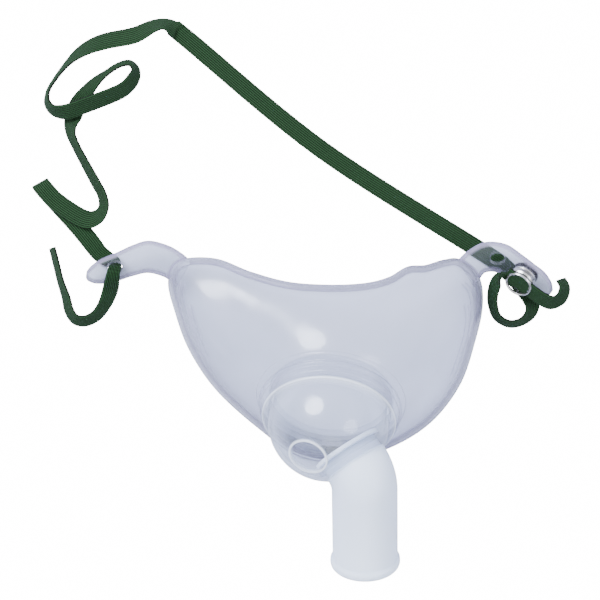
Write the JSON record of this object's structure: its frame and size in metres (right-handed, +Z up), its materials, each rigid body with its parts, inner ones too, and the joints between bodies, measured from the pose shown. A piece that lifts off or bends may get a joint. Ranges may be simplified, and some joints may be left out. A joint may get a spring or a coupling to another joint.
{
  "type": "tracheostomy mask",
  "caption": "Adult tracheostomy mask: clear vinyl shell with ear tabs, swivelling port cap and tubing elbow, and an elastic neck strap on a press snap.",
  "frame": {"origin": "on the table under the middle of the mask, measured without the strap", "axes": "+Z up from the table the mask lies on; +X towards the tab with the snap; +Y from the chest end, where the tube points, to the chin end"},
  "size_m": [0.1853, 0.1916, 0.0553],
  "materials": {
    "shell": "clear soft vinyl, faintly lavender",
    "cap": "clear polypropylene, faintly milky",
    "elbow": "milky translucent polyethylene",
    "snap": "nickel-plated steel",
    "strap": "dark green braided elastic with lengthwise ribs"
  },
  "bodies": {
    "mask": {"mask_shell": "shell", "snap_back_ring": "snap", "snap_stud": "snap", "strap_left_tail": "strap", "strap_left_fold": "strap", "strap_long_run": "strap", "strap_right_loop": "strap"},
    "cap": {"port_cap": "cap"},
    "elbow": {"swivel_elbow": "elbow"},
    "snap_grip": {"snap_socket_spring": "snap"},
    "snap": {"snap_socket": "snap", "snap_ring_cap": "snap", "strap_snap_end": "strap"}
  },
  "joints": [
    {"name": "cap_swivel", "type": "hinge", "parent": "mask", "child": "cap", "pos_m": [0.00387, 0.00403, 0.02861], "axis": [-0.0872, -0.7518, 0.6536], "continuous": true},
    {"name": "elbow_swivel", "type": "hinge", "parent": "cap", "child": "elbow", "pos_m": [0.00303, -0.00319, 0.03488], "axis": [0.5353, -0.8315, 0.1486], "continuous": true},
    {"name": "snap_release", "type": "slide", "parent": "mask", "child": "snap_grip", "axis": [-0.4436, -0.6106, 0.6561], "range_m": [0, 0.006]},
    {"name": "snap_swivel", "type": "hinge", "parent": "snap_grip", "child": "snap", "pos_m": [0.07047, 0.04573, 0.00751], "axis": [-0.4436, -0.6106, 0.6561], "range_deg": [-15, 15]}
  ]
}
